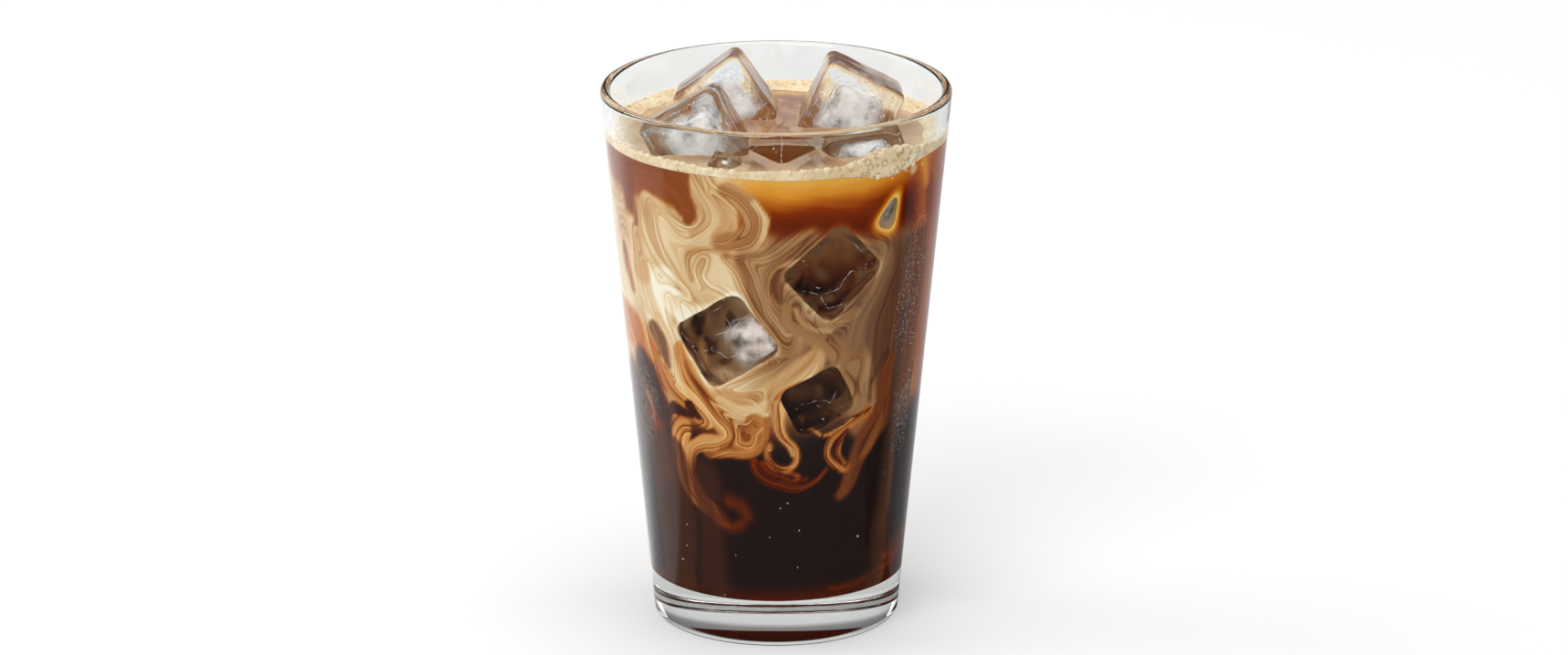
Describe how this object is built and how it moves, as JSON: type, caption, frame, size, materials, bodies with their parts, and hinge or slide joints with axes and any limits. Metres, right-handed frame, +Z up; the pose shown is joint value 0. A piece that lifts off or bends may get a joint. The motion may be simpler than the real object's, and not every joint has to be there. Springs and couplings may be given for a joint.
{
  "type": "iced latte",
  "caption": "Iced latte in a tapered clear tumbler: dark coffee under swirled milk coffee, a ring of foam, and ice cubes standing out of the top.",
  "frame": {"origin": "centre of the tumbler's foot, on the surface that it stands on", "axes": "+Z up along the tumbler's axis, -Y towards the viewer, +X to the viewer's right"},
  "size_m": [0.0878, 0.0878, 0.1427],
  "materials": {
    "glass": "clear polished soda glass with a fire-polished rim and a thick base",
    "coffee": "near-black brown coffee, clear and glossy, reddish where it is thin",
    "milk_coffee": "milk swirling through coffee, cream to caramel to amber",
    "foam": "cream-coloured foam of fine and coarse bubbles",
    "ice": "clear wet ice with white cores, cracks and bubbles"
  },
  "bodies": {
    "root": {"glass": "glass", "coffee": "coffee", "milk_coffee": "milk_coffee", "foam": "foam", "ice_right": "ice", "ice_front_left": "ice", "ice_back_left": "ice", "ice_centre": "ice", "ice_front_right": "ice", "ice_chip": "ice"}
  },
  "joints": []
}
